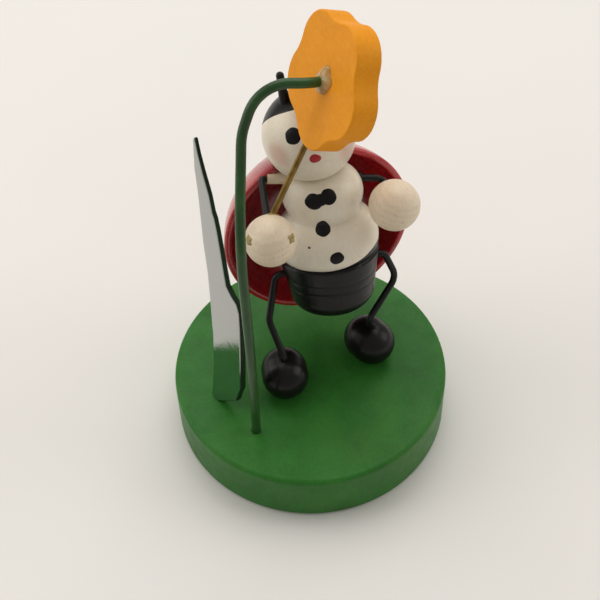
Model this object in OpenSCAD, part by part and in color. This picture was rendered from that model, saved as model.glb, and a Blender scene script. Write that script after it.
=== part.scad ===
// A turned-wood ladybird child on a round green base, standing beside a green leaf and
// under an orange blossom that hangs from a bent green wire stem.
// Frame: the origin is the centre of the base's underside, +Z is up, the figure looks toward -Y.

/* [Base] */
// Diameter of the round base
base_d = 45; // [42:1:50]
// Thickness of the base
base_h = 10; // [8:0.5:12]
// Radius of the rounded edges of the base
base_round = 0.8; // [0.4:0.1:1.2]

/* [Figure] */
// How far the figure turns to its left, in degrees
figure_turn = 13; // [8:1:16]
// How far the figure leans back, in degrees
figure_lean = 20; // [17:1:22]
// Diameter of the head
head_d = 14.2; // [13.6:0.1:14.4]
// Diameter of the round hand beads
hand_d = 7.8; // [7:0.1:8.4]
// Diameter of the shoe beads
shoe_d = 7.5; // [7:0.1:8]
// Thickness of the black arm and leg wire
limb_d = 1.1; // [0.9:0.1:1.2]

/* [Wing shell] */
// Outside diameter of the wing shell
shell_d = 31.4; // [30:0.2:32]
// Wall thickness of the wing shell
shell_wall = 1.2; // [1:0.1:1.4]

/* [Flower and leaf] */
// Radius of the blossom at a petal tip
blossom_r = 9.9; // [9.4:0.1:10.2]
// Thickness of the blossom
blossom_t = 3.9; // [3:0.1:4.2]
// Thickness of the green flower wire
stem_d = 1.5; // [1.2:0.1:1.6]
// Thickness of the leaf board at its foot
leaf_t = 1.3; // [1:0.1:1.5]

/* [Hidden] */
$fn = 48;
fit = 0.05;

// Bends are this much fatter than the straight wire, which runs this far into them.
bend_swell = 1.02;
bend_lap = 0.05;

// Where the middle of the figure's lower end hangs above the base top.
hip = [4.1, 4, base_h + 12.4];

// Heights along the figure's own axis, from its lower end.
trousers_h = 9.6;
trousers_r = 7.9;
trousers_foot_r = 6.8;
trousers_round = 3;
leg_z = 6.8;
belly_r = 8.1;
belly_z = 12.2;
belly_bulge = 5.1;
chest_r = 6.3;
chest_z = 19.8;
chest_bulge = 4.2;
waist_r = 5.6;
chest_top = 23.8;
head_z = 29.6;
head_shift = -1.05;

// Hidden joints between the turned pieces.
spigot_d = 5;
spigot_h = 3;
neck_d = 2.5;
neck_below = 1.2;
neck_above = 3;
shell_peg_d = 2.6;
shell_peg_z = 12.4;
shell_peg_start = 4.5;

// The cross dowel in the shoulders, from the left end to the right end.
shoulder_d = 1.8;
shoulder_a = [-8.1, 1, 23.3];
shoulder_b = [6.3, 1, 20.2];

// The wing shell: centre of its ball, its own turn and lean, and how far its rim is set back.
shell_c = [2.7, 8.5, base_h + 22.1];
shell_turn = 17.5;
shell_lean = 10;
shell_rim_back = 2.4;
shell_back_y = 16.4;
head_gap = 0.5;

// Feelers on the head.
feeler_root = [3.1, -0.6, 34];
feeler_tip = [3.4, -0.6, 39.8];
feeler_root_r = 0.85;
feeler_tip_r = 0.6;
feeler_bore = 1.6;

// Hands, arms and legs.
hand_left_c = [-10.3, -9.5, 18.5];
hand_right_c = [9.1, -8, 19.3];
arm_reach = 2.2;
arm_bend_left = 0.75;
arm_bend_right = 1.4;
elbow_left = 0.8;
elbow_right = 3.6;
hand_grip = 2;
end_bore = 3.5;
shoe_stretch = 1.3;
sole_cut = 0.25;
shoe_left_c = [-4.2, -3.7];
shoe_right_c = [9.9, 2.5];
shoe_left_turn = 8;
shoe_right_turn = 38;
shoe_bore = 2;
leg_bore = 2.6;
leg_bends = [1.2, 2.4, 1.6];

// The brass rod in the left hand.
rod_d = 0.9;
rod_foot = [0, 2.5, 1.7];
rod_reach = [6, 4.8, 11.7];

// The green stem: corners of its path, and the bend radius at each inner corner.
stem_foot = [-9, -12.3, base_h];
stem_depth = 6;
blossom_c = [2.9, 7.2, base_h + 56.4];
stem_corners = [
    stem_foot - [0, 0, stem_depth],
    [-8.9, -12.3, base_h + 20.1],
    [-9.5, -7.6, base_h + 40],
    [-8.6, 2.2, base_h + 51.8],
    [-5.9, 6, base_h + 57.6],
    [0.4, 5.9, base_h + 57.3],
    blossom_c
];
stem_bends = [40, 30, 9, 6.2, 5];

// The blossom: five round petals with soft hollows between them, its middle a little off the stem;
// the angles turn its back toward the stem.
petals = 5;
petal_first = 12;
petal_share = 0.49;
hollow_r = 6.4;
hollow_lap = 0.02;
blossom_shift = [-0.7, 0.3];
blossom_angles = [50.7, -53.2, -37.5];
stem_bore = 2.4;
glue_bead_r = 1.9;
glue_bead_h = 0.9;

// The leaf board: its foot, its angles, how it thins toward the tip, and its outline with a
// step on the front edge.
leaf_foot = [-16.2, -5.2, base_h];
leaf_angles = [82, 0, -55];
leaf_taper = 0.7;
leaf_outline = [
    [-0.2, -1], [1.8, -1], [1.8, 0.3], [4, 2.5], [6.2, 4.9], [7.1, 8.8], [6.5, 15.2], [5.7, 21.2],
    [5.1, 24.4], [4.3, 25.8], [2.9, 26.3], [1.5, 27.2], [0.6, 29.6], [-0.5, 32.8], [-1.7, 36], [-2.5, 37.8],
    [-3, 38.4], [-4.1, 41], [-5.8, 43.7], [-7.3, 46.4], [-8.3, 48.7], [-8.8, 48.1],
    [-8.1, 43.2], [-6.9, 39.2], [-5, 31], [-3.4, 25.7], [-2.1, 19.5], [-1.1, 14.2], [-0.3, 6.8]
];

// ---- helpers ----

// A point in the figure's own frame, moved to the shared frame.
function on_y(p) = p[1] * cos(figure_lean) + p[2] * sin(figure_lean);
function fig(p) = hip + [
    p[0] * cos(figure_turn) - on_y(p) * sin(figure_turn),
    p[0] * sin(figure_turn) + on_y(p) * cos(figure_turn),
    -p[1] * sin(figure_lean) + p[2] * cos(figure_lean)
];

function unit(v) = v / norm(v);

module in_figure() {
    translate(hip) rotate([0, 0, figure_turn]) rotate([-figure_lean, 0, 0]) children();
}

// A round bar from point a to point b.
module bar(a, b, d) {
    v = b - a;
    translate(a)
        rotate([0, acos(v[2] / norm(v)), atan2(v[1], v[0])])
            cylinder(h = norm(v), d = d);
}

// How far a bend of radius r at corner i of a path eats into the bars beside it.
function turn_at(p, i) = acos(unit(p[i] - p[i - 1]) * unit(p[i + 1] - p[i]));
function bend_cut(p, r, i) = i == 0 || i == len(p) - 1 ? 0 : r[i - 1] * tan(turn_at(p, i) / 2);

// One bend: part of a ring, turned from the incoming to the outgoing direction at corner i.
module bend(p, r, i, d) {
    u = unit(p[i] - p[i - 1]);
    v = unit(p[i + 1] - p[i]);
    start = p[i] - u * bend_cut(p, r, i);
    inward = unit(v - u * (u * v));
    centre = start + inward * r[i - 1];
    side = cross(u, inward);
    multmatrix([
        [-inward[0], u[0], side[0], centre[0]],
        [-inward[1], u[1], side[1], centre[1]],
        [-inward[2], u[2], side[2], centre[2]],
        [0, 0, 0, 1]
    ])
        rotate_extrude(angle = turn_at(p, i)) translate([r[i - 1], 0]) circle(d = d * bend_swell);
}

// How far the bar beside corner i starts from it.
function bar_gap(p, r, i) = max(0, bend_cut(p, r, i) - bend_lap);

// A round wire bent along the corners p, with bend radius r at each inner corner.
module wire(p, r, d) {
    for (i = [0:len(p) - 2]) {
        along = unit(p[i + 1] - p[i]);
        bar(p[i] + along * bar_gap(p, r, i), p[i + 1] - along * bar_gap(p, r, i + 1), d);
    }
    for (i = [1:len(p) - 2]) bend(p, r, i, d);
}

// The bore that the last bar of a wire is glued into.
module wire_end_bore(p) {
    n = len(p);
    along = unit(p[n - 1] - p[n - 2]);
    bar(p[n - 1] - along * end_bore, p[n - 1] + along * fit, limb_d + 2 * fit);
}

// ---- base, stem, blossom and leaf ----

module base_disc() {
    color([0.13, 0.42, 0.16])
        difference() {
            rotate_extrude($fn = 96) {
                square([base_d / 2 - base_round, base_h]);
                translate([0, base_round]) square([base_d / 2, base_h - 2 * base_round]);
                for (z = [base_round, base_h - base_round])
                    translate([base_d / 2 - base_round, z]) circle(r = base_round);
            }
            translate(stem_foot - [0, 0, stem_depth + fit])
                cylinder(h = stem_depth + 1, d = stem_d + 2 * fit);
        }
}

stem_last = len(stem_corners) - 1;
stem_end_dir = unit(stem_corners[stem_last] - stem_corners[stem_last - 1]);

module flower_stem() {
    path = [for (i = [0:stem_last])
        i < stem_last ? stem_corners[i] : blossom_c + stem_end_dir * (stem_bore - fit)];
    color([0.16, 0.33, 0.16]) wire(path, stem_bends, stem_d);
}

module blossom_outline() {
    petal_r = petal_share * blossom_r;
    petal_reach = blossom_r - petal_r;
    half = 180 / petals;
    hollow_reach = petal_reach * cos(half)
        + sqrt(pow(petal_r + hollow_r, 2) - pow(petal_reach * sin(half), 2));
    translate(blossom_shift)
        difference() {
            union() {
                polygon([for (i = [0:2 * petals - 1])
                    (i % 2 == 0 ? petal_reach : hollow_reach)
                        * [cos(petal_first + i * half), sin(petal_first + i * half)]]);
                for (i = [0:petals - 1])
                    rotate(petal_first + 2 * i * half)
                        translate([petal_reach, 0]) circle(r = petal_r);
            }
            for (i = [0:petals - 1])
                rotate(petal_first + (2 * i + 1) * half)
                    translate([hollow_reach, 0]) circle(r = hollow_r + hollow_lap);
        }
}

module blossom() {
    color([0.92, 0.58, 0.10])
        difference() {
            translate(blossom_c) rotate(blossom_angles)
                translate([0, 0, -blossom_t]) linear_extrude(blossom_t) blossom_outline();
            bar(blossom_c - stem_end_dir * 2, blossom_c + stem_end_dir * stem_bore, stem_d + 2 * fit);
        }
}

module stem_glue_bead() {
    color([0.85, 0.66, 0.30])
        difference() {
            translate(blossom_c) rotate(blossom_angles)
                cylinder(h = glue_bead_h, r1 = glue_bead_r, r2 = glue_bead_r * 0.6);
            bar(blossom_c - stem_end_dir * 4, blossom_c + stem_end_dir, stem_d + 2 * fit);
        }
}

module leaf_board() {
    color([0.13, 0.36, 0.20])
        difference() {
            translate(leaf_foot) rotate(leaf_angles)
                difference() {
                    translate([0, 0, -leaf_t]) linear_extrude(leaf_t) polygon(leaf_outline);
                    translate([-base_d, -1, -leaf_t]) rotate([leaf_taper, 0, 0])
                        translate([0, 0, -leaf_t]) cube([2 * base_d, 2 * base_d, leaf_t]);
                }
            translate([-base_d, -base_d, base_h - 10]) cube([2 * base_d, 2 * base_d, 10]);
        }
}

// ---- body ----

module leg_bores() {
    for (s = [-1, 1])
        bar([s * (trousers_r + 1), 0, leg_z], [s * (trousers_r - leg_bore), 0, leg_z], limb_d + 2 * fit);
}

module trousers_section() {
    difference() {
        union() {
            square([trousers_foot_r - trousers_round, trousers_h]);
            translate([trousers_foot_r - trousers_round, trousers_round]) circle(r = trousers_round);
            polygon([
                [0, trousers_round], [trousers_foot_r, trousers_round],
                [trousers_r, trousers_h], [0, trousers_h]
            ]);
        }
        translate([-trousers_r, -1]) square([trousers_r, trousers_h + 2]);
    }
}

module trousers() {
    color([0.06, 0.06, 0.06])
        in_figure()
            difference() {
                rotate_extrude() trousers_section();
                translate([0, 0, trousers_h - spigot_h - fit])
                    cylinder(h = spigot_h + 1, d = spigot_d + 2 * fit);
                leg_bores();
            }
}

module torso_section() {
    intersection() {
        translate([0, trousers_h]) square([belly_r + 1, chest_top - trousers_h]);
        union() {
            square([waist_r, chest_z]);
            square([belly_r - belly_bulge, belly_z + belly_bulge]);
            translate([belly_r - belly_bulge, belly_z]) circle(r = belly_bulge);
            translate([chest_r - chest_bulge, chest_z]) circle(r = chest_bulge);
            translate([0, chest_z]) square([chest_r - chest_bulge, chest_bulge]);
        }
    }
}

module torso() {
    color([0.87, 0.83, 0.74])
        in_figure()
            difference() {
                union() {
                    rotate_extrude() torso_section();
                    translate([0, 0, trousers_h - spigot_h]) cylinder(h = spigot_h + 1, d = spigot_d);
                }
                translate([0, 0, chest_top - neck_below - fit])
                    cylinder(h = neck_below + 1, d = neck_d + 2 * fit);
                bar(shoulder_a, shoulder_b, shoulder_d + 2 * fit);
                bar([0, shell_peg_start - fit, shell_peg_z], [0, belly_r + 1, shell_peg_z],
                    shell_peg_d + 2 * fit);
            }
}

module shoulder_dowel() {
    color([0.88, 0.80, 0.68])
        in_figure()
            difference() {
                bar(shoulder_a, shoulder_b, shoulder_d);
                bar(shoulder_a - arm_axis, shoulder_a + arm_axis * arm_reach, limb_d + 2 * fit);
                bar(shoulder_b + arm_axis, shoulder_b - arm_axis * arm_reach, limb_d + 2 * fit);
            }
}

// ---- head ----

module feeler_shape(s, r_more) {
    root = [s * feeler_root[0], feeler_root[1], feeler_root[2]];
    tip = [s * feeler_tip[0], feeler_tip[1], feeler_tip[2]];
    v = tip - root;
    translate([head_shift, 0, 0]) translate(root)
        rotate([0, acos(v[2] / norm(v)), atan2(v[1], v[0])]) {
            cylinder(h = norm(v), r1 = feeler_root_r + r_more, r2 = feeler_tip_r + r_more);
            translate([0, 0, norm(v)]) sphere(r = feeler_tip_r + r_more);
        }
}

module head() {
    color([0.88, 0.84, 0.74])
        in_figure()
            difference() {
                translate([head_shift, 0, head_z]) sphere(d = head_d, $fn = 72);
                translate([-head_d, -head_d, chest_top - 5]) cube([2 * head_d, 2 * head_d, 5]);
                translate([0, 0, chest_top - 1]) cylinder(h = neck_above + 1 + fit, d = neck_d + 2 * fit);
                for (s = [-1, 1]) feeler_shape(s, fit);
            }
}

module neck_dowel() {
    color([0.80, 0.68, 0.50])
        in_figure()
            translate([0, 0, chest_top - neck_below]) cylinder(h = neck_below + neck_above, d = neck_d);
}

module feeler_left() {
    color([0.05, 0.05, 0.05]) in_figure() feeler_shape(-1, 0);
}

module feeler_right() {
    color([0.05, 0.05, 0.05]) in_figure() feeler_shape(1, 0);
}

// ---- wing shell ----

module shell_bowl() {
    translate(shell_c) rotate([0, 0, shell_turn]) rotate([-shell_lean, 0, 0])
        difference() {
            sphere(d = shell_d, $fn = 96);
            sphere(d = shell_d - 2 * shell_wall, $fn = 96);
            translate([-shell_d, shell_rim_back - 2 * shell_d, -shell_d]) cube(2 * shell_d);
        }
}

module wing_shell() {
    color([0.70, 0.07, 0.10])
        difference() {
            shell_bowl();
            in_figure() {
                translate([head_shift, 0, head_z]) sphere(d = head_d + 2 * head_gap, $fn = 72);
                bar([0, shell_peg_start, shell_peg_z], [0, shell_d, shell_peg_z], shell_peg_d + 2 * fit);
            }
        }
}

module shell_peg() {
    color([0.80, 0.68, 0.50])
        in_figure()
            bar([0, shell_peg_start, shell_peg_z], [0, shell_back_y, shell_peg_z], shell_peg_d);
}

// ---- arms and hands ----

arm_axis = unit(shoulder_b - shoulder_a);
arm_left_path = [
    shoulder_a + arm_axis * (arm_reach - fit),
    shoulder_a - arm_axis * elbow_left,
    hand_left_c + unit(shoulder_a - arm_axis * elbow_left - hand_left_c) * hand_grip
];
arm_right_path = [
    shoulder_b - arm_axis * (arm_reach - fit),
    shoulder_b + arm_axis * elbow_right,
    hand_right_c + unit(shoulder_b + arm_axis * elbow_right - hand_right_c) * hand_grip
];

module arm_wire_left() {
    color([0.06, 0.06, 0.06]) in_figure() wire(arm_left_path, [arm_bend_left], limb_d);
}

module arm_wire_right() {
    color([0.06, 0.06, 0.06]) in_figure() wire(arm_right_path, [arm_bend_right], limb_d);
}

hand_left_centre = fig(hand_left_c);
rod_start = hand_left_centre + rod_foot;
rod_end = rod_start + rod_reach;

module hand_left() {
    color([0.89, 0.82, 0.70])
        difference() {
            translate(hand_left_centre) sphere(d = hand_d);
            in_figure() wire_end_bore(arm_left_path);
            bar(rod_start, rod_end, rod_d + 2 * fit);
        }
}

module hand_right() {
    color([0.89, 0.82, 0.70])
        in_figure()
            difference() {
                translate(hand_right_c) sphere(d = hand_d);
                wire_end_bore(arm_right_path);
            }
}

module holding_rod() {
    color([0.62, 0.50, 0.22])
        bar(rod_start + unit(rod_reach) * fit, rod_end, rod_d);
}

// ---- legs and shoes ----

shoe_z = base_h + shoe_d / 2 - sole_cut;

function shoe_top(c) = [c[0], c[1], shoe_z + shoe_d / 2];
function leg_path(side, knee, shin, c) = [
    fig([side * (trousers_r - leg_bore + fit), 0, leg_z]),
    fig([side * (trousers_r + 1), 0, leg_z]),
    knee,
    shin,
    shoe_top(c) - [0, 0, shoe_bore]
];
leg_left_path = leg_path(-1, [-6.4, 0.4, base_h + 12.2], [-4.2, -3.7, base_h + 8], shoe_left_c);
leg_right_path = leg_path(1, [14.3, 7.2, base_h + 14], [9.9, 2.5, base_h + 9.4], shoe_right_c);

module leg_wire_left() {
    color([0.06, 0.06, 0.06]) wire(leg_left_path, leg_bends, limb_d);
}

module leg_wire_right() {
    color([0.06, 0.06, 0.06]) wire(leg_right_path, leg_bends, limb_d);
}

// An oval bead with a flat sole, its toe turned away from straight ahead.
module shoe(c, turn, path) {
    difference() {
        translate([c[0], c[1], shoe_z]) rotate([0, 0, turn]) {
            for (s = [-1, 1]) translate([0, s * shoe_stretch / 2, 0]) sphere(d = shoe_d);
            translate([0, shoe_stretch / 2, 0]) rotate([90, 0, 0]) cylinder(h = shoe_stretch, d = shoe_d);
        }
        translate([c[0] - shoe_d, c[1] - shoe_d, base_h - 5]) cube([2 * shoe_d, 2 * shoe_d, 5]);
        wire_end_bore(path);
    }
}

module shoe_left() {
    color([0.05, 0.05, 0.05]) shoe(shoe_left_c, shoe_left_turn, leg_left_path);
}

module shoe_right() {
    color([0.05, 0.05, 0.05]) shoe(shoe_right_c, shoe_right_turn, leg_right_path);
}

base_disc();
flower_stem();
blossom();
stem_glue_bead();
leaf_board();
trousers();
torso();
shoulder_dowel();
head();
neck_dowel();
feeler_left();
feeler_right();
wing_shell();
shell_peg();
arm_wire_left();
arm_wire_right();
hand_left();
hand_right();
holding_rod();
leg_wire_left();
leg_wire_right();
shoe_left();
shoe_right();
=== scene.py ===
import math

import bmesh
import bpy
from mathutils import Matrix, Vector, noise
from mathutils.bvhtree import BVHTree


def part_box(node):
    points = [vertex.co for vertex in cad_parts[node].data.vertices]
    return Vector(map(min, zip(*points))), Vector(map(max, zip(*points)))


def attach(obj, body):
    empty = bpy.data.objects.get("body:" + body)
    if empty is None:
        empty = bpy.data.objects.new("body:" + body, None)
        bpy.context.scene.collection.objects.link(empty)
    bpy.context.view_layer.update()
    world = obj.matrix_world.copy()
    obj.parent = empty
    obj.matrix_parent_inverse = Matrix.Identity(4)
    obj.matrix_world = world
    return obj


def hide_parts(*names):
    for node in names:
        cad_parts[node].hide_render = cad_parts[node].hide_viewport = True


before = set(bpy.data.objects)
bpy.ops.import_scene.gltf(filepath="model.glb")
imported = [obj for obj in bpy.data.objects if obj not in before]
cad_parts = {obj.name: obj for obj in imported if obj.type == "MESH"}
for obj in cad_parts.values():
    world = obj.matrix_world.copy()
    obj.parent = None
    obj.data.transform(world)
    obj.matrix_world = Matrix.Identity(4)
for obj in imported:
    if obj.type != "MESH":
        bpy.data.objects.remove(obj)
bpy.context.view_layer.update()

# The looks of the ladybird child: lengths below are in millimetres and become metres through MM.
MM = 0.001
SCENE = bpy.context.scene


# ---- places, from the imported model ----

def box_middle(node):
    low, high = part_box(node)
    return (low + high) / 2


def turn(degrees, axis):
    return Matrix.Rotation(math.radians(degrees), 4, axis)


def at(x, y, z):
    return Matrix.Translation(Vector((x, y, z)) * MM)


FIGURE_TURN = 13
FIGURE_LEAN = 20
NECK_MIDDLE = 24.7
TILT = turn(FIGURE_TURN, "Z") @ turn(-FIGURE_LEAN, "X")
HIP = box_middle("neck_dowel") - (TILT @ Vector((0, 0, NECK_MIDDLE))) * MM
FIGURE = Matrix.Translation(HIP) @ TILT
BASE_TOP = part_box("base_disc")[1].z / MM


def ball_of(node):
    """The centre, in metres, and the radius, in millimetres, of a ball whose widest part lies along X."""
    low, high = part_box(node)
    radius = (high.x - low.x) / 2
    return Vector(((low.x + high.x) / 2, high.y - radius, high.z - radius)), radius / MM


HEAD_CENTRE, HEAD_R = ball_of("head")
HAND_LEFT, HAND_R = ball_of("hand_left")
HAND_RIGHT = ball_of("hand_right")[0]


# ---- materials ----

# The colour sockets of a Mix node go by number, as its sockets for other types bear the same names.
MIX_BASE, MIX_COLOUR, MIX_RESULT = 6, 7, 2


class Shader:
    """A small helper that builds one node material."""

    def __init__(self, name):
        self.material = bpy.data.materials.new(name)
        self.material.use_nodes = True
        self.nodes = self.material.node_tree.nodes
        self.links = self.material.node_tree.links
        self.bsdf = self.nodes["Principled BSDF"]
        self.where = self.nodes.new("ShaderNodeTexCoord").outputs["Object"]
        self.bumps = []

    def link(self, a, b):
        self.links.new(a, b)

    def stretched(self, scale):
        """The object's coordinates, scaled unevenly, for grain that runs along one axis."""
        mapping = self.nodes.new("ShaderNodeMapping")
        mapping.inputs["Scale"].default_value = scale
        self.link(self.where, mapping.inputs["Vector"])
        return mapping.outputs["Vector"]

    def noise(self, scale, detail=3.0, roughness=0.5, where=None):
        """Noise with about this many waves in a metre."""
        node = self.nodes.new("ShaderNodeTexNoise")
        node.inputs["Scale"].default_value = scale
        node.inputs["Detail"].default_value = detail
        node.inputs["Roughness"].default_value = roughness
        self.link(where or self.where, node.inputs["Vector"])
        return node.outputs["Fac"]

    def ramp(self, fac, stops):
        """A colour ramp over fac; stops are (position, (r, g, b)) in linear colour."""
        node = self.nodes.new("ShaderNodeValToRGB")
        elements = node.color_ramp.elements
        while len(elements) < len(stops):
            elements.new(0.5)
        for element, (position, colour) in zip(elements, stops):
            element.position = position
            element.color = (*colour, 1)
        self.link(fac, node.inputs["Fac"])
        return node.outputs["Color"]

    def grey(self, fac, low, high, from_low=0.3, from_high=0.7):
        """fac stretched onto the range from low to high."""
        node = self.nodes.new("ShaderNodeMapRange")
        node.inputs["From Min"].default_value = from_low
        node.inputs["From Max"].default_value = from_high
        node.inputs["To Min"].default_value = low
        node.inputs["To Max"].default_value = high
        self.link(fac, node.inputs["Value"])
        return node.outputs["Result"]

    def mix(self, fac, base, colour, blend="MIX"):
        """The colour of the base socket, turned into a plain colour where fac is high."""
        node = self.nodes.new("ShaderNodeMix")
        node.data_type = "RGBA"
        node.blend_type = blend
        self.link(fac, node.inputs["Factor"])
        self.link(base, node.inputs[MIX_BASE])
        node.inputs[MIX_COLOUR].default_value = (*colour, 1)
        return node.outputs[MIX_RESULT]

    def bump_node(self, height, distance, strength):
        node = self.nodes.new("ShaderNodeBump")
        node.inputs["Distance"].default_value = distance * MM
        node.inputs["Strength"].default_value = strength
        self.link(height, node.inputs["Height"])
        return node

    def bump(self, heights):
        """Stacked bumps, the lowest first; heights are (socket, distance in millimetres, strength)."""
        self.bumps = [self.bump_node(*height) for height in heights]
        for lower, upper in zip(self.bumps, self.bumps[1:]):
            self.link(lower.outputs["Normal"], upper.inputs["Normal"])
        self.link(self.bumps[-1].outputs["Normal"], self.bsdf.inputs["Normal"])

    def set(self, **values):
        """Plain values on the shader's own sockets, with _ for a space in their names."""
        for name, value in values.items():
            self.bsdf.inputs[name.replace("_", " ")].default_value = value


def lacquer(name, colour, spread=0.22, rough=(0.22, 0.34), coat=0.5, grain=(260, 260, 60), dust=0.25, tint=None,
            shine=0.3):
    """Paint on wood: cloudy colour, faint grain under it, brush waves, dust specks and a clear coat."""
    s = Shader(name)
    dark = tuple(c * (1 - spread) for c in colour)
    light = tuple(min(1.0, c * (1 + spread)) for c in colour)
    dusty = tuple(min(1.0, c * 1.6 + 0.05) for c in colour)
    clouds = s.noise(140, detail=4, roughness=0.55)
    base = s.ramp(clouds, [(0.3, dark), (0.5, colour), (0.72, light)])
    if tint:
        patches = s.noise(75, detail=2)
        base = s.mix(s.grey(patches, low=0, high=0.55, from_low=0.5, from_high=0.72), base, tint)
    fibres = s.noise(9, detail=3, roughness=0.6, where=s.stretched(grain))
    base = s.mix(s.grey(fibres, low=0, high=0.22), base, dark, "MULTIPLY")
    specks = s.noise(2600, detail=1, roughness=0.4)
    base = s.mix(s.grey(specks, low=0, high=dust, from_low=0.70, from_high=0.80), base, dusty)
    s.link(base, s.bsdf.inputs["Base Color"])
    s.link(s.grey(s.noise(420, detail=4, roughness=0.6), *rough), s.bsdf.inputs["Roughness"])
    brush_waves = s.noise(520, detail=2)
    s.bump([(fibres, 0.05, 0.18), (brush_waves, 0.06, 0.2), (specks, 0.02, 0.1)])
    s.set(Coat_Weight=coat, Coat_Roughness=0.12, Specular_IOR_Level=shine)
    return s


LEAF_GLOSS_IOR = 2.3
LEAF_GLOSS_SLOPE = 0.17


def leaf_lacquer():
    """A deep gloss, whose shading alone leans by LEAF_GLOSS_SLOPE along Z, in the paint and in the clear coat."""
    s = lacquer("leaf_green", (0.010, 0.048, 0.020), spread=0.35, rough=(0.06, 0.12), coat=1.0,
                grain=(60, 300, 300), shine=0.5)
    split = s.nodes.new("ShaderNodeSeparateXYZ")
    s.link(s.where, split.inputs["Vector"])
    lean = s.bump_node(split.outputs["Z"], LEAF_GLOSS_SLOPE / MM, 1.0)
    s.link(lean.outputs["Normal"], s.bumps[0].inputs["Normal"])
    s.link(s.bumps[-1].outputs["Normal"], s.bsdf.inputs["Coat Normal"])
    s.set(IOR=LEAF_GLOSS_IOR, Coat_IOR=LEAF_GLOSS_IOR, Coat_Roughness=0.05)
    return s.material


def bare_wood(name, pale, brown):
    """Bare or clear-varnished wood with growth rings and pores."""
    s = Shader(name)
    rings = s.nodes.new("ShaderNodeTexWave")
    rings.wave_type = "RINGS"
    rings.rings_direction = "Y"
    rings.inputs["Scale"].default_value = 320
    rings.inputs["Distortion"].default_value = 3.5
    rings.inputs["Detail"].default_value = 3
    rings.inputs["Detail Scale"].default_value = 1.4
    s.link(s.where, rings.inputs["Vector"])
    late_wood = tuple(a * 0.88 + b * 0.12 for a, b in zip(pale, brown))
    base = s.ramp(rings.outputs["Fac"], [(0.1, pale), (0.9, late_wood)])
    pores = s.noise(10, detail=4, roughness=0.65, where=s.stretched((420, 420, 70)))
    base = s.mix(s.grey(pores, low=0, high=0.5, from_low=0.52, from_high=0.75), base, brown)
    s.link(base, s.bsdf.inputs["Base Color"])
    s.link(s.grey(pores, low=0.42, high=0.6), s.bsdf.inputs["Roughness"])
    s.bump([(pores, 0.04, 0.3), (s.noise(600, detail=2), 0.03, 0.15)])
    s.set(Coat_Weight=0.15, Coat_Roughness=0.3)
    return s.material


def brass(name):
    """Drawn brass with tarnish and lengthwise scratches."""
    s = Shader(name)
    tarnish = s.noise(320, detail=5, roughness=0.6)
    base = s.ramp(tarnish, [(0.3, (0.10, 0.055, 0.012)), (0.5, (0.23, 0.14, 0.032)), (0.75, (0.40, 0.27, 0.08))])
    s.link(base, s.bsdf.inputs["Base Color"])
    s.link(s.grey(tarnish, low=0.28, high=0.5), s.bsdf.inputs["Roughness"])
    scratches = s.noise(12, detail=3, roughness=0.6, where=s.stretched((900, 900, 60)))
    s.bump([(scratches, 0.02, 0.3)])
    s.set(Metallic=0.85)
    return s.material


def glue(name, colour, clear):
    """Dried glue: clear or cloudy, with small bubbles and a wavy skin."""
    s = Shader(name)
    bubbles = s.noise(1500, detail=2)
    base = s.ramp(bubbles, [(0.35, tuple(c * 0.7 for c in colour)), (0.7, colour)])
    s.link(base, s.bsdf.inputs["Base Color"])
    s.link(s.grey(bubbles, low=0.08, high=0.22), s.bsdf.inputs["Roughness"])
    s.bump([(s.noise(700, detail=2), 0.06, 0.4)])
    s.set(Transmission_Weight=clear, IOR=1.47)
    return s.material


WHITE_LOOK = {"colour": (0.80, 0.735, 0.605), "spread": 0.05, "rough": (0.26, 0.4), "coat": 0.15, "dust": 0.1,
              "tint": (0.74, 0.64, 0.48)}

BASE_GREEN = lacquer("base_green", (0.030, 0.168, 0.022), spread=0.2, rough=(0.34, 0.5), coat=0.0,
                     tint=(0.050, 0.175, 0.026), shine=0.18).material
STEM_GREEN = lacquer("stem_green", (0.022, 0.080, 0.018), spread=0.35, rough=(0.26, 0.4), coat=0.12,
                     tint=(0.045, 0.085, 0.028)).material
ORANGE = lacquer("orange", (0.84, 0.330, 0.012), spread=0.07, rough=(0.45, 0.6), coat=0.0, grain=(300, 60, 300),
                 dust=0.12, shine=0.15).material
LEAF_GREEN = leaf_lacquer()
# The leaf's sawn edge: its own duller paint, made darker than the leaf's green as painted shade on the edge.
LEAF_EDGE_SHADED = lacquer("leaf_edge_painted_shade", (0.010, 0.030, 0.011), spread=0.3, rough=(0.45, 0.6), coat=0.0, dust=0.1,
                    shine=0.15).material
WHITE = lacquer("white", **WHITE_LOOK).material
BLACK = lacquer("black", (0.006, 0.0055, 0.005), spread=0.35, rough=(0.26, 0.42), coat=0.06, dust=0.06,
                shine=0.22).material
BLACK_PAINT = lacquer("black_paint", (0.005, 0.0045, 0.0045), spread=0.3, rough=(0.35, 0.5), coat=0.02, dust=0.05,
                      shine=0.2).material
WIRE_BLACK = lacquer("wire_black", (0.006, 0.0065, 0.006), spread=0.4, rough=(0.34, 0.5), coat=0.05, dust=0.15,
                     shine=0.25).material
RED = lacquer("red", (0.48, 0.016, 0.021), spread=0.22, rough=(0.2, 0.32), coat=0.6, tint=(0.20, 0.006, 0.010),
              shine=0.4).material
BROWN_PAINT = lacquer("brown_paint", (0.14, 0.075, 0.045), spread=0.2, rough=(0.4, 0.5), coat=0.0, dust=0.1).material
MOUTH_RED = lacquer("mouth_red", (0.42, 0.010, 0.018), spread=0.2, rough=(0.3, 0.4), coat=0.1, dust=0.1).material
CREAM = bare_wood("cream_wood", (0.78, 0.655, 0.485), (0.50, 0.34, 0.19))
DOWEL = bare_wood("dowel_wood", (0.62, 0.44, 0.25), (0.36, 0.21, 0.09))
BRASS = brass("brass")
CLEAR_GLUE = glue("clear_glue", (0.86, 0.60, 0.22), 0.5)
YELLOW_GLUE = glue("yellow_glue", (0.52, 0.40, 0.13), 0.25)


# ---- mesh helpers ----

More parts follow.
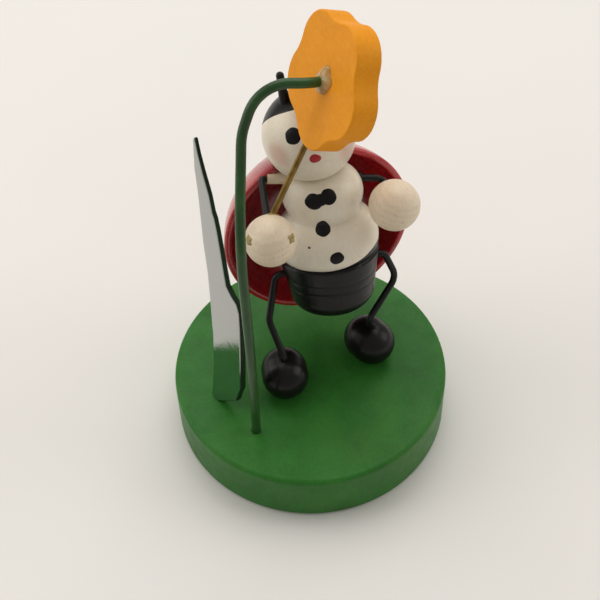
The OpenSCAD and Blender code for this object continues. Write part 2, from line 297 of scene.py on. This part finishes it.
def add_mesh(name, points, faces, matrix=Matrix.Identity(4)):
    """A smooth-shaded mesh object at the origin, from points in millimetres of the matrix's own frame."""
    mesh = bpy.data.meshes.new(name)
    mesh.from_pydata([matrix @ (Vector(p) * MM) for p in points], [], faces)
    mesh.validate()
    mesh.shade_smooth()
    obj = bpy.data.objects.new(name, mesh)
    SCENE.collection.objects.link(obj)
    return obj


def place(obj, material, slot, *nodes):
    """Gives a piece its material, lets it ride on the part, and hides the CAD nodes it stands for."""
    obj.data.materials.clear()
    obj.data.materials.append(material)
    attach(obj, "root")
    if nodes:
        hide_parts(*nodes)
    return obj


def ring_faces(rings, sides):
    """Quads between rings of equal size that follow one another in the point list."""
    faces = []
    for i in range(rings - 1):
        for j in range(sides):
            k = (j + 1) % sides
            faces.append((i * sides + j, i * sides + k, (i + 1) * sides + k, (i + 1) * sides + j))
    return faces


def lathe(name, profile, matrix, sides=128, wobble=0.0):
    """Turns a profile of (radius, height) pairs, from one pole to the other, round local Z."""
    points = []
    inner = profile[1:-1]
    for radius, height in inner:
        for j in range(sides):
            a = 2 * math.pi * j / sides
            r = radius + wobble * noise.noise(Vector((math.cos(a), math.sin(a), height * 0.3)))
            points.append((r * math.cos(a), r * math.sin(a), height))
    faces = ring_faces(len(inner), sides)
    for pole_height, ring, flip in ((profile[0][1], 0, True), (profile[-1][1], len(inner) - 1, False)):
        pole = len(points)
        points.append((0, 0, pole_height))
        for j in range(sides):
            a, b = ring * sides + j, ring * sides + (j + 1) % sides
            faces.append((b, a, pole) if flip else (a, b, pole))
    return add_mesh(name, points, faces, matrix)


def arc(x, z, radius, start, end, steps):
    """Points on an arc of a profile; angles in degrees from the outward direction."""
    angles = [math.radians(start + (end - start) * i / steps) for i in range(steps + 1)]
    return [(x + radius * math.cos(a), z + radius * math.sin(a)) for a in angles]


def bent_path(corners, bends):
    """Points along straight runs joined by arcs, as the CAD wires run."""
    corners = [Vector(c) for c in corners]
    path = [corners[0]]
    for i in range(1, len(corners) - 1):
        u = (corners[i] - corners[i - 1]).normalized()
        v = (corners[i + 1] - corners[i]).normalized()
        angle, radius = u.angle(v), bends[i - 1]
        start = corners[i] - u * radius * math.tan(angle / 2)
        inward = (v - u * u.dot(v)).normalized()
        centre = start + inward * radius
        steps = max(4, round(math.degrees(angle) / 5))
        for k in range(steps + 1):
            a = angle * k / steps
            path.append(centre - inward * radius * math.cos(a) + u * radius * math.sin(a))
    path.append(corners[-1])
    return path


def spaced(path, step):
    """The same line with points about one step apart, so that its surface can be worked."""
    out = [path[0]]
    for a, b in zip(path, path[1:]):
        parts = max(1, round((b - a).length / step))
        out += [a.lerp(b, k / parts) for k in range(1, parts + 1)]
    return out


# The rings of a wire's rounded end: how deep each lies, and its radius, as shares.
WIRE_END = ((0, 0.7), (0.15, 0.86), (0.5, 0.97))
WIRE_END_DEPTH = 0.35


def wire_end(end, inside, radius):
    """The middles of a rounded end's rings, from the tip inward."""
    inward = (inside - end).normalized()
    return [end + inward * radius * WIRE_END_DEPTH * share for share, _ in WIRE_END]


def tube(name, path, radius, matrix=Matrix.Identity(4), sides=28, uneven=0.0):
    """A round wire along a path, with rounded ends and a slightly uneven paint skin."""
    path = spaced(path, radius * 0.6)
    narrowing = [radius * share for _, share in WIRE_END]
    radii = narrowing + [radius] * (len(path) - 2) + narrowing[::-1]
    start, finish = wire_end(path[0], path[1], radius), wire_end(path[-1], path[-2], radius)
    path = start + path[1:-1] + finish[::-1]
    normal = (path[1] - path[0]).orthogonal().normalized()
    points = []
    for i, centre in enumerate(path):
        along = (path[min(i + 1, len(path) - 1)] - path[max(i - 1, 0)]).normalized()
        normal = (normal - along * normal.dot(along)).normalized()
        across = along.cross(normal)
        for j in range(sides):
            a = 2 * math.pi * j / sides
            way = normal * math.cos(a) + across * math.sin(a)
            skin = 1 - uneven * (0.5 + 0.5 * noise.noise(centre * 0.9 + way * 0.8))
            points.append(centre + way * radii[i] * skin)
    faces = ring_faces(len(path), sides)
    faces += [tuple(reversed(range(sides))), tuple(range(len(points) - sides, len(points)))]
    return add_mesh(name, points, faces, matrix)


def direction(azimuth, elevation):
    """A unit vector in the figure's frame: azimuth 0 is its front, and goes toward its local +X."""
    a, e = math.radians(azimuth), math.radians(elevation)
    return Vector((math.sin(a) * math.cos(e), -math.cos(a) * math.cos(e), math.sin(e)))


def surface_of(obj):
    """The object's surface, with its modifiers, as a tree that rays can be cast at."""
    bpy.context.view_layer.update()
    graph = bpy.context.evaluated_depsgraph_get()
    mesh = bmesh.new()
    mesh.from_object(obj, graph)
    tree = BVHTree.FromBMesh(mesh)
    mesh.free()
    return tree


DROP_SINK = 0.03
RAY_LENGTH = 0.05


def drop(name, target, point, inward, width, height, thick, ragged=0.06, seed=0.0, power=0.5):
    """A drop of paint or glue: a domed patch on the target's surface, with its rim sunk by DROP_SINK.
    point and RAY_LENGTH are in metres: the point is outside the surface, and inward is the way to it."""
    tree = surface_of(target)
    inward = inward.normalized()
    side = inward.cross(Vector((0, 0, 1))).normalized()
    up = side.cross(inward)
    sides, rings = 48, 12
    points = []
    for i in range(rings + 1):
        reach = math.sin(0.5 * math.pi * i / rings)
        lift = thick * max(0.0, 1 - reach ** 2) ** power - DROP_SINK
        for j in range(sides):
            a = 2 * math.pi * j / sides
            edge = 1 + ragged * 2 * noise.noise(Vector((math.cos(a) * 1.3, math.sin(a) * 1.3, seed)))
            spread = side * math.cos(a) * width + up * math.sin(a) * height
            hit, normal, _, _ = tree.ray_cast(point + spread * 0.5 * reach * edge * MM, inward, RAY_LENGTH)
            outward = normal if normal.dot(inward) < 0 else -normal
            points.append(hit / MM + outward * lift)
    faces = [tuple(reversed(face)) for face in ring_faces(rings + 1, sides)]
    obj = add_mesh(name, points, faces)
    mesh = bmesh.new()
    mesh.from_mesh(obj.data)
    bmesh.ops.remove_doubles(mesh, verts=mesh.verts, dist=0.001 * MM)
    bmesh.ops.recalc_face_normals(mesh, faces=mesh.faces)
    mesh.to_mesh(obj.data)
    mesh.free()
    return obj


def slab(name, outline, low, high, matrix, edge):
    """A board sawn along an outline, with softened edges; low and high give its faces at a point."""
    count = len(outline)
    points = [(x, y, low(x, y)) for x, y in outline] + [(x, y, high(x, y)) for x, y in outline]
    faces = [(i, (i + 1) % count, count + (i + 1) % count, count + i) for i in range(count)]
    faces += [tuple(reversed(range(count))), tuple(range(count, 2 * count))]
    obj = add_mesh(name, points, faces, matrix)
    bevel = obj.modifiers.new("edges", "BEVEL")
    bevel.width = edge * MM
    bevel.segments = 4
    bevel.limit_method = "ANGLE"
    bevel.angle_limit = math.radians(45)
    normals = obj.modifiers.new("normals", "WEIGHTED_NORMAL")
    normals.keep_sharp = True
    return obj


# ---- base, stem, blossom and leaf ----

def paint_node(node, material):
    """Keeps a CAD node's shape and gives it its material."""
    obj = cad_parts[node]
    obj.data.materials.clear()
    obj.data.materials.append(material)


STEM_R = 0.75
BOARD_EDGE = 0.3
BLOSSOM_C = (2.9, 7.2, BASE_TOP + 56.4)
STEM_CORNERS = [
    (-9, -12.3, BASE_TOP - 6), (-8.9, -12.3, BASE_TOP + 20.1), (-9.5, -7.6, BASE_TOP + 40),
    (-8.6, 2.2, BASE_TOP + 51.8), (-5.9, 6, BASE_TOP + 57.6), (0.4, 5.9, BASE_TOP + 57.3), BLOSSOM_C,
]
STEM_BENDS = [40, 30, 9, 6.2, 5]
BLOSSOM = at(*BLOSSOM_C) @ turn(-37.5, "Z") @ turn(-53.2, "Y") @ turn(50.7, "X")
BLOSSOM_R, BLOSSOM_T = 9.9, 3.9
BLOSSOM_SHIFT = (-0.7, 0.3)
PETALS = 5
PETAL_FIRST, PETAL_SHARE, HOLLOW_R = 12, 0.49, 6.42
PETAL_STEPS, HOLLOW_STEPS = 28, 9


def on_circle(centre, radius, angle):
    return (centre[0] + radius * math.cos(angle), centre[1] + radius * math.sin(angle))


def blossom_outline():
    """Petal arcs joined by soft hollows, each arc running smoothly into the next."""
    petal_r = PETAL_SHARE * BLOSSOM_R
    reach = BLOSSOM_R - petal_r
    half = math.pi / PETALS
    hollow_reach = reach * math.cos(half) + math.sqrt((petal_r + HOLLOW_R) ** 2 - (reach * math.sin(half)) ** 2)
    # A petal and a hollow meet on the line between their centres, whose angle is also the petal arc's half.
    x, y = on_circle((-reach, 0), hollow_reach, half)
    sweep = math.atan2(y, x)
    swing = sweep - half
    outline = []
    for i in range(PETALS):
        middle = math.radians(PETAL_FIRST) + 2 * i * half
        petal = on_circle(BLOSSOM_SHIFT, reach, middle)
        hollow = on_circle(BLOSSOM_SHIFT, hollow_reach, middle + half)
        inward = middle + half + math.pi
        outline += [on_circle(petal, petal_r, middle - sweep + 2 * sweep * k / PETAL_STEPS)
                    for k in range(PETAL_STEPS + 1)]
        outline += [on_circle(hollow, HOLLOW_R, inward + swing - 2 * swing * k / HOLLOW_STEPS)
                    for k in range(1, HOLLOW_STEPS)]
    return outline


def make_flower():
    paint_node("base_disc", BASE_GREEN)
    path = bent_path(STEM_CORNERS, STEM_BENDS)
    place(tube("stem_wire", path, STEM_R, uneven=0.03), STEM_GREEN, "green_wire_paint", "flower_stem")
    blossom = slab("blossom_board", blossom_outline(), lambda x, y: -BLOSSOM_T, lambda x, y: 0, BLOSSOM, BOARD_EDGE)
    place(blossom, ORANGE, "orange_lacquer", "blossom")
    outward = (BLOSSOM.to_3x3() @ Vector((0, 0, 1))).normalized()
    glue_bead = drop("glue_at_blossom", blossom, BLOSSOM.translation + outward * 5 * MM, -outward,
                     width=3.6, height=4.2, thick=1.0, ragged=0.12, seed=2.0)
    place(glue_bead, CLEAR_GLUE, "dried_glue", "stem_glue_bead")


LEAF = at(-16.2, -5.2, BASE_TOP) @ turn(-55, "Z") @ turn(82, "X")
LEAF_T = 1.3
LEAF_TAPER = 0.7
LEAF_OUTLINE = [
    (-0.2, -0.1), (1.8, -0.1), (1.8, 0.3), (4, 2.5), (6.2, 4.9), (7.1, 8.8), (6.5, 15.2), (5.7, 21.2),
    (5.1, 24.4), (4.3, 25.8), (2.9, 26.3), (1.5, 27.2), (0.6, 29.6), (-0.5, 32.8), (-1.7, 36), (-2.5, 37.8),
    (-3, 38.4), (-4.1, 41), (-5.8, 43.7), (-7.3, 46.4), (-8.3, 48.7), (-8.8, 48.1),
    (-8.1, 43.2), (-6.9, 39.2), (-5, 31), (-3.4, 25.7), (-2.1, 19.5), (-1.1, 14.2), (-0.3, 6.8),
]


def make_leaf():
    """The leaf board, thinner toward its tip, with a duller green on its sawn edge, darkened there as painted shade.
    """
    slope = math.tan(math.radians(LEAF_TAPER))
    leaf = slab("leaf_plate", LEAF_OUTLINE, lambda x, y: -LEAF_T + slope * (y + 1), lambda x, y: 0, LEAF, BOARD_EDGE)
    place(leaf, LEAF_GREEN, "leaf_green_lacquer", "leaf_board")
    leaf.data.materials.append(LEAF_EDGE_SHADED)
    for face in leaf.data.polygons:
        face.material_index = 1 if len(face.vertices) == 4 else 0


# ---- body ----

TROUSERS_H, TROUSERS_R, TROUSERS_FOOT_R, TROUSERS_ROUND = 9.6, 7.9, 6.8, 3.0
BELLY_R, BELLY_Z, BELLY_BULGE = 8.1, 12.2, 5.1
CHEST_R, CHEST_Z, CHEST_BULGE = 6.3, 19.8, 4.2
WAIST_R, CHEST_TOP = 5.6, 23.8
CREASE_FILL, CREASE_TRIM = 0.22, 0.02
# Shallow grooves left by the turning tool: height, depth and width.
TROUSERS_GROOVES = ((5.1, 0.08, 0.22), (6.7, 0.06, 0.2))
TORSO_STEPS = 70


def bulge(radius, middle, curve, z):
    """Radius of a rounded turned belt at height z, or 0 beyond it."""
    inside = curve ** 2 - (z - middle) ** 2
    return radius - curve + math.sqrt(inside) if inside > 0 else 0


def torso_radius(z):
    """The turned outline; paint fills the crease at the waist a little."""
    waist = WAIST_R if z < CHEST_Z else 0
    widths = [waist, bulge(BELLY_R, BELLY_Z, BELLY_BULGE, z), bulge(CHEST_R, CHEST_Z, CHEST_BULGE, z)]
    return CREASE_FILL * math.log(sum(math.exp(w / CREASE_FILL) for w in widths)) - CREASE_TRIM


def trousers_side(share):
    """Radius and height on the tapered side, for a share of the way up it."""
    z = TROUSERS_ROUND + (TROUSERS_H - TROUSERS_ROUND) * share
    cut = sum(depth * math.exp(-((z - middle) / width) ** 2) for middle, depth, width in TROUSERS_GROOVES)
    return (TROUSERS_FOOT_R + (TROUSERS_R - TROUSERS_FOOT_R) * share - cut, z)


def trousers_profile():
    foot = arc(TROUSERS_FOOT_R - TROUSERS_ROUND, TROUSERS_ROUND, TROUSERS_ROUND, -90, 0, 16)
    side = [trousers_side(i / 40) for i in range(1, 40)]
    top = [(TROUSERS_R - 0.1, TROUSERS_H - 0.05), (5, TROUSERS_H), (0, TROUSERS_H)]
    return [(0, 0), (1.5, 0)] + foot + side + top


def torso_profile():
    low, high = TROUSERS_H + 0.01, CHEST_TOP - 0.02
    heights = [low + (high - low) * i / TORSO_STEPS for i in range(TORSO_STEPS + 1)]
    return [(0, low)] + [(torso_radius(z), z) for z in heights] + [(1.5, CHEST_TOP - 0.01), (0, CHEST_TOP)]


def make_body():
    place(lathe("trousers_turned", trousers_profile(), FIGURE), BLACK, "black_lacquer", "trousers")
    torso = place(lathe("torso_turned", torso_profile(), FIGURE), WHITE, "white_lacquer", "torso")
    make_paint_hem()
    for node, material, slot in (("shoulder_dowel", CREAM, "cream_wood"), ("neck_dowel", DOWEL, "raw_dowel_wood"),
                                 ("shell_peg", DOWEL, "raw_dowel_wood"), ("holding_rod", BRASS, "brass")):
        paint_node(node, material)
    return torso


HEM_RISE, HEM_HEIGHT, HEM_OVERLAP = 2.0, 0.25, 0.15
HEM_LIFT, HEM_TUCK = 0.05, 0.02


def hem_top(azimuth):
    """Height of the hem's wavy upper edge, which stands HEM_RISE higher between two azimuths."""
    rise = HEM_RISE / (1 + math.exp(-(azimuth - 30) / 14)) / (1 + math.exp((azimuth - 150) / 12))
    return TROUSERS_H + HEM_HEIGHT + rise + 0.12 * noise.noise(Vector((azimuth * 0.05, 3, 0)))


def make_paint_hem():
    """The black paint runs a little over the belly's lower edge, higher on one side."""
    sides, rings = 160, 8
    bottom = TROUSERS_H - HEM_OVERLAP
    points = []
    for i in range(rings + 1):
        lift = HEM_LIFT if i < rings else -HEM_TUCK
        for j in range(sides):
            azimuth = 360 * j / sides - 180
            z = bottom + (hem_top(azimuth) - bottom) * i / rings
            wood = max(torso_radius(max(z, TROUSERS_H + 0.01)), TROUSERS_R if z < TROUSERS_H else 0)
            way = direction(azimuth, 0) * (wood + lift)
            points.append((way.x, way.y, z))
    hem = add_mesh("paint_hem", points, ring_faces(rings + 1, sides), FIGURE)
    place(hem, BLACK, "black_lacquer")


def on_torso(torso, name, azimuth, z, width, height, seed, thick=0.16, paint=BLACK_PAINT, slot="black_lacquer"):
    """A paint drop on the chest or belly, at an azimuth and a height."""
    way = direction(azimuth, 0)
    slope = (torso_radius(z + 0.4) - torso_radius(z - 0.4)) / 0.8
    outward = (way - Vector((0, 0, slope))).normalized()
    local = way * torso_radius(z) + Vector((0, 0, z)) + outward * 2
    inward = -(FIGURE.to_3x3() @ outward)
    piece = drop(name, torso, FIGURE @ (local * MM), inward, width, height, thick, ragged=0.04, seed=seed)
    return place(piece, paint, slot)


def make_buttons(torso):
    on_torso(torso, "bow_tie_left", -25, 21.2, 2.8, 2.5, 1.0)
    on_torso(torso, "bow_tie_right", -3, 21.7, 2.5, 2.5, 5.0)
    on_torso(torso, "bow_tie_knot", -14.5, 21.4, 2.0, 1.9, 8.0)
    on_torso(torso, "button_top", -16, 16.4, 2.4, 2.3, 3.0)
    on_torso(torso, "button_bottom", -3, 12.3, 2.2, 2.1, 4.0)
    on_torso(torso, "brown_speck", -33, 14.2, 0.5, 0.4, 7.0, 0.08, BROWN_PAINT, "white_lacquer")


# ---- head ----

HEAD_FRAME = Matrix.Translation(HEAD_CENTRE) @ TILT
HEAD_Z = 29.6
NECK_CUT = CHEST_TOP - HEAD_Z
HEAD_TRIM = 0.03
CAP_AXIS = direction(173, 50)
CAP_REACH = 74
CAP_DIPS = (0.012, 0.06)
EYES = ((-32, 23), (20, 23))
MOUTH = (-7, -6)
CHEEKS = ((-55, -4), (42, -7))
CHEEK_ROSE = (0.56, 0.27, 0.20)


def face_white():
    """The head's white lacquer with two soft rosy cheeks rubbed into it."""
    s = lacquer("face_white", **WHITE_LOOK)
    colour = s.bsdf.inputs["Base Color"].links[0].from_socket
    for cheek in CHEEKS:
        distance = s.nodes.new("ShaderNodeVectorMath")
        distance.operation = "DISTANCE"
        distance.inputs[1].default_value = HEAD_FRAME @ (direction(*cheek) * HEAD_R * MM)
        s.link(s.where, distance.inputs[0])
        fade = s.grey(distance.outputs["Value"], low=0.55, high=0, from_low=0.8 * MM, from_high=2.9 * MM)
        fade.node.interpolation_type = "SMOOTHSTEP"
        colour = s.mix(fade, colour, CHEEK_ROSE)
    s.link(colour, s.bsdf.inputs["Base Color"])
    return s.material


def make_head():
    radius = HEAD_R - HEAD_TRIM
    low = math.degrees(math.asin(NECK_CUT / HEAD_R)) + 2
    profile = [(0, NECK_CUT), (2, NECK_CUT)] + arc(0, 0, radius, low, 89, 96) + [(0, radius)]
    head = place(lathe("head_turned", profile, HEAD_FRAME), face_white(), "white_lacquer", "head")
    make_cap()
    for index, eye in enumerate(EYES):
        place(on_head(head, f"eye_{index + 1}", eye, 2.5, 2.5, 0.16, 6.0 + index), BLACK_PAINT, "black_lacquer")
    place(on_head(head, "mouth", MOUTH, 1.75, 1.5, 0.14, 9.0), MOUTH_RED, "red_lacquer")
    for node in ("feeler_left", "feeler_right"):
        paint_node(node, BLACK)


def on_head(head, name, angles, width, height, thick, seed):
    """A paint drop on the head, at an azimuth and an elevation."""
    outward = TILT.to_3x3() @ direction(*angles)
    start = HEAD_CENTRE + outward * (HEAD_R + 3) * MM
    return drop(name, head, start, -outward, width, height, thick, ragged=0.05, seed=seed)


def make_cap():
    """The black cap: a thin coat of paint over the back and top of the head, with a hand-painted edge.
    Its last two rings dip by CAP_DIPS, so that the edge goes into the head."""
    sides, rings = 160, 40
    axis_turn = Vector((0, 0, 1)).rotation_difference(CAP_AXIS).to_matrix().to_4x4()
    dips = [0] * (rings - 1) + list(CAP_DIPS)
    points = []
    for i in range(rings + 1):
        radius = HEAD_R - dips[i]
        for j in range(sides):
            a = 2 * math.pi * j / sides
            edge = CAP_REACH + 1.6 * noise.noise(Vector((math.cos(a) * 1.6, math.sin(a) * 1.6, 4)))
            reach = math.radians(edge * (0.01 + 0.99 * i / rings))
            across = radius * math.sin(reach)
            points.append((across * math.cos(a), across * math.sin(a), radius * math.cos(reach)))
    faces = ring_faces(rings + 1, sides) + [tuple(range(sides))]
    cap = add_mesh("cap_paint", points, faces, HEAD_FRAME @ axis_turn)
    trim_at_neck(cap)
    place(cap, BLACK, "black_lacquer")


def trim_at_neck(cap):
    """Cuts away the paint below the flat where the head sits on the chest."""
    mesh = bmesh.new()
    mesh.from_mesh(cap.data)
    up = TILT.to_3x3() @ Vector((0, 0, 1))
    flat = HEAD_CENTRE + up * (NECK_CUT + 0.05) * MM
    everything = mesh.verts[:] + mesh.edges[:] + mesh.faces[:]
    bmesh.ops.bisect_plane(mesh, geom=everything, plane_co=flat, plane_no=up, clear_inner=True)
    bmesh.ops.recalc_face_normals(mesh, faces=mesh.faces)
    mesh.to_mesh(cap.data)
    mesh.free()


# ---- wing shell ----

SHELL_R, SHELL_WALL, SHELL_RIM = 15.7, 1.2, 2.4
SHELL_TURN, SHELL_LEAN = 17.5, 10
RIM_ROUND, RIM_HALF = 0.45, 0.58
NOTCH_GAP = 0.5
# Azimuth and elevation on the shell's back, and width.
SHELL_SPOTS = ((0, 48, 5.2), (-38, 20, 4.6), (38, 20, 4.6), (-30, -24, 4.2), (30, -24, 4.2), (0, -4, 5.0))


def shell_profile():
    """A bowl's outline, from the outside pole round the soft rim to the inside pole."""
    inner_r = SHELL_R - SHELL_WALL
    rim_z = SHELL_RIM + RIM_ROUND
    start = math.degrees(math.asin(rim_z / SHELL_R))
    end = math.degrees(math.asin(rim_z / inner_r))
    rim_middle = (SHELL_R + inner_r) / 2 * math.cos(math.radians(start))
    rim = [(rim_middle + RIM_HALF * math.cos(a), rim_z - RIM_ROUND * math.sin(a))
           for a in [math.pi * k / 12 for k in range(1, 12)]]
    outside = arc(0, 0, SHELL_R - 0.02, 89, start, 60)
    inside = arc(0, 0, inner_r, end, 89, 60)
    return [(0, SHELL_R)] + outside + rim + inside + [(0, inner_r)]


def cut_notch(shell):
    """Takes out of the shell a ball a little larger than the head."""
    radius = HEAD_R + NOTCH_GAP
    notch = lathe("notch_ball", [(0, -radius)] + arc(0, 0, radius, -88, 88, 64) + [(0, radius)], HEAD_FRAME)
    cut = shell.modifiers.new("notch", "BOOLEAN")
    cut.operation = "DIFFERENCE"
    cut.solver = "EXACT"
    cut.object = notch
    bpy.context.view_layer.update()
    graph = bpy.context.evaluated_depsgraph_get()
    shell.data = bpy.data.meshes.new_from_object(shell.evaluated_get(graph))
    shell.modifiers.clear()
    bpy.data.objects.remove(notch)
    shell.data.set_sharp_from_angle(angle=math.radians(50))


def make_shell():
    low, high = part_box("wing_shell")
    centre = Vector((low.x + SHELL_R * MM, high.y - SHELL_R * MM, low.z + SHELL_R * MM))
    shell_turn = turn(SHELL_TURN, "Z") @ turn(-SHELL_LEAN, "X")
    bowl_frame = Matrix.Translation(centre) @ shell_turn @ turn(-90, "X")
    shell = lathe("wing_bowl", shell_profile(), bowl_frame, sides=160, wobble=0.02)
    cut_notch(shell)
    place(shell, RED, "red_lacquer", "wing_shell")
    for index, (azimuth, elevation, width) in enumerate(SHELL_SPOTS):
        outward = shell_turn.to_3x3() @ direction(180 - azimuth, elevation)
        spot = drop(f"shell_spot_{index + 1}", shell, centre + outward * (SHELL_R + 3) * MM, -outward,
                    width, width, thick=0.2, seed=11.0 + index, power=0.3)
        place(spot, BLACK, "black_lacquer")


# ---- hands, arms, legs and shoes ----

LIMB_R = 0.55
SHOULDER_A, SHOULDER_B = Vector((-8.1, 1, 23.3)), Vector((6.3, 1, 20.2))
SHOULDER_AXIS = (SHOULDER_B - SHOULDER_A).normalized()
HAND_LEFT_AT, HAND_RIGHT_AT = Vector((-10.3, -9.5, 18.5)), Vector((9.1, -8, 19.3))
ARM_DEPTH, HAND_DEPTH, BEAD_FLAT = 2.15, 2, 0.12
ELBOW_LEFT, ELBOW_RIGHT = SHOULDER_A - SHOULDER_AXIS * 0.8, SHOULDER_B + SHOULDER_AXIS * 3.6
BEND_LEFT, BEND_RIGHT = 0.75, 1.4
# The way from the hand's middle, then width, height and seed.
GLUE_SPOTS = {
    "glue_spot_right": ((0.81, -0.33, 0.49), 1.7, 1.3, 21.0),
    "glue_spot_left": ((-0.82, -0.33, 0.46), 2.0, 1.2, 22.0),
    "glue_at_rod": ((0.13, 0.72, 0.68), 2.0, 1.6, 23.0),
}


def bead(name, centre, bead_turn, node):
    """A turned bead: a ball, a little flat round the hole at each end."""
    profile = [(0, BEAD_FLAT - HAND_R)] + arc(0, 0, HAND_R - 0.02, -80, 80, 60) + [(0, HAND_R - BEAD_FLAT)]
    obj = lathe(name, profile, Matrix.Translation(centre) @ bead_turn, sides=96, wobble=0.03)
    return place(obj, CREAM, "cream_wood", node)


def make_arm(name, node, start, elbow, hand, bend):
    """An arm wire, from inside the shoulder dowel to inside the hand."""
    grip = hand + (elbow - hand).normalized() * HAND_DEPTH
    wire = tube(name, bent_path([start, elbow, grip], [bend]), LIMB_R, FIGURE)
    place(wire, WIRE_BLACK, "black_wire", node)


def make_arms():
    make_arm("arm_left", "arm_wire_left", SHOULDER_A + SHOULDER_AXIS * ARM_DEPTH, ELBOW_LEFT, HAND_LEFT_AT, BEND_LEFT)
    make_arm("arm_right", "arm_wire_right", SHOULDER_B - SHOULDER_AXIS * ARM_DEPTH, ELBOW_RIGHT, HAND_RIGHT_AT,
             BEND_RIGHT)
    collar = [SHOULDER_B - SHOULDER_AXIS * 0.6, SHOULDER_B + SHOULDER_AXIS * 0.3]
    place(tube("shoulder_paint", collar, 1.0, FIGURE), BLACK_PAINT, "black_lacquer")
    left = bead("hand_bead_left", HAND_LEFT, turn(30, "X") @ turn(20, "Y"), "hand_left")
    bead("hand_bead_right", HAND_RIGHT, turn(-20, "X") @ turn(35, "Y"), "hand_right")
    for name, (way, width, height, seed) in GLUE_SPOTS.items():
        outward = Vector(way).normalized()
        spot = drop(name, left, HAND_LEFT + outward * (HAND_R + 3) * MM, -outward, width, height, thick=0.2,
                    ragged=0.3, seed=seed)
        place(spot, YELLOW_GLUE, "dried_glue")


HIP_Z, HIP_DEPTH, HIP_REACH = 6.8, 5.35, 1
SHOE_DEPTH = 2
LEG_BENDS = [1.2, 2.4, 1.6]


def in_figure(x, y, z):
    """A point of the figure's frame, in millimetres of the shared frame."""
    return (FIGURE @ (Vector((x, y, z)) * MM)) / MM


def make_leg(name, node, shoe, side, knee, shin):
    """A leg wire, from inside the trousers over the knee and shin corners to inside its shoe, and the shoe."""
    foot = (shin[0], shin[1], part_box(shoe)[1].z / MM - SHOE_DEPTH)
    hip = [in_figure(side * HIP_DEPTH, 0, HIP_Z), in_figure(side * (TROUSERS_R + HIP_REACH), 0, HIP_Z)]
    wire = tube(name, bent_path(hip + [knee, shin, foot], LEG_BENDS), LIMB_R)
    place(wire, WIRE_BLACK, "black_wire", node)
    paint_node(shoe, BLACK)


def make_legs():
    make_leg("leg_left", "leg_wire_left", "shoe_left", -1,
             knee=(-6.4, 0.4, BASE_TOP + 12.2), shin=(-4.2, -3.7, BASE_TOP + 8))
    make_leg("leg_right", "leg_wire_right", "shoe_right", 1,
             knee=(14.3, 7.2, BASE_TOP + 14), shin=(9.9, 2.5, BASE_TOP + 9.4))


# ---- floor, light and camera ----

FLOOR_SIZE = 1500
FLOOR_GAP = 0.02


def make_floor():
    size, low = FLOOR_SIZE, -FLOOR_GAP
    corners = [(-size, -size, low), (size, -size, low), (size, size, low), (-size, size, low)]
    floor = add_mesh("floor", corners, [(0, 1, 2, 3)])
    s = Shader("floor_paper")
    colour = s.ramp(s.noise(12, detail=2), [(0.3, (0.80, 0.775, 0.74)), (0.7, (0.83, 0.80, 0.765))])
    s.link(colour, s.bsdf.inputs["Base Color"])
    s.set(Roughness=0.9, Specular_IOR_Level=0.1)
    floor.data.materials.append(s.material)


def area_light(name, position, target, size, power, colour):
    data = bpy.data.lights.new(name, "AREA")
    data.size = size
    data.energy = power
    data.color = colour
    light = bpy.data.objects.new(name, data)
    light.location = position
    light.rotation_mode = "QUATERNION"
    light.rotation_quaternion = (Vector(target) - Vector(position)).to_track_quat("-Z", "Y")
    SCENE.collection.objects.link(light)


def make_light():
    """A dim room, a wide soft box overhead and a little behind, and a weak one at each side."""
    world = bpy.data.worlds.new("studio")
    world.use_nodes = True
    background = world.node_tree.nodes["Background"]
    background.inputs["Color"].default_value = (1.0, 0.975, 0.94, 1)
    background.inputs["Strength"].default_value = 0.36
    SCENE.world = world
    centre = (0, 0, 0.03)
    area_light("overhead", (0, 0.42, 0.72), centre, 0.9, 4.9, (1.0, 0.985, 0.955))
    area_light("left", (-0.6, 0.1, 0.35), centre, 0.5, 1.5, (1.0, 0.985, 0.96))
    area_light("right", (0.6, 0.05, 0.35), centre, 0.4, 0.9, (1.0, 0.985, 0.96))


def make_camera():
    """The view is 52 degrees down, along +Y, with a slight roll."""
    pitch, roll, reach = 51.78, -1.85, 202.5
    target = Vector((-1.34, 0, 27.74))
    data = bpy.data.cameras.new("camera")
    data.sensor_width = 36
    data.lens = 78.06
    data.clip_start, data.clip_end = 0.005, 10
    camera = bpy.data.objects.new("camera", data)
    p = math.radians(pitch)
    back = Vector((0, -math.cos(p), math.sin(p)))
    place_at = Matrix.Translation((target + back * reach) * MM)
    camera.matrix_world = place_at @ turn(90 - pitch, "X") @ turn(roll, "Z")
    SCENE.collection.objects.link(camera)
    SCENE.camera = camera


make_camera()
make_floor()
make_light()
make_flower()
make_leaf()
make_buttons(make_body())
make_head()
make_shell()
make_arms()
make_legs()
SCENE.view_settings.view_transform = "Standard"
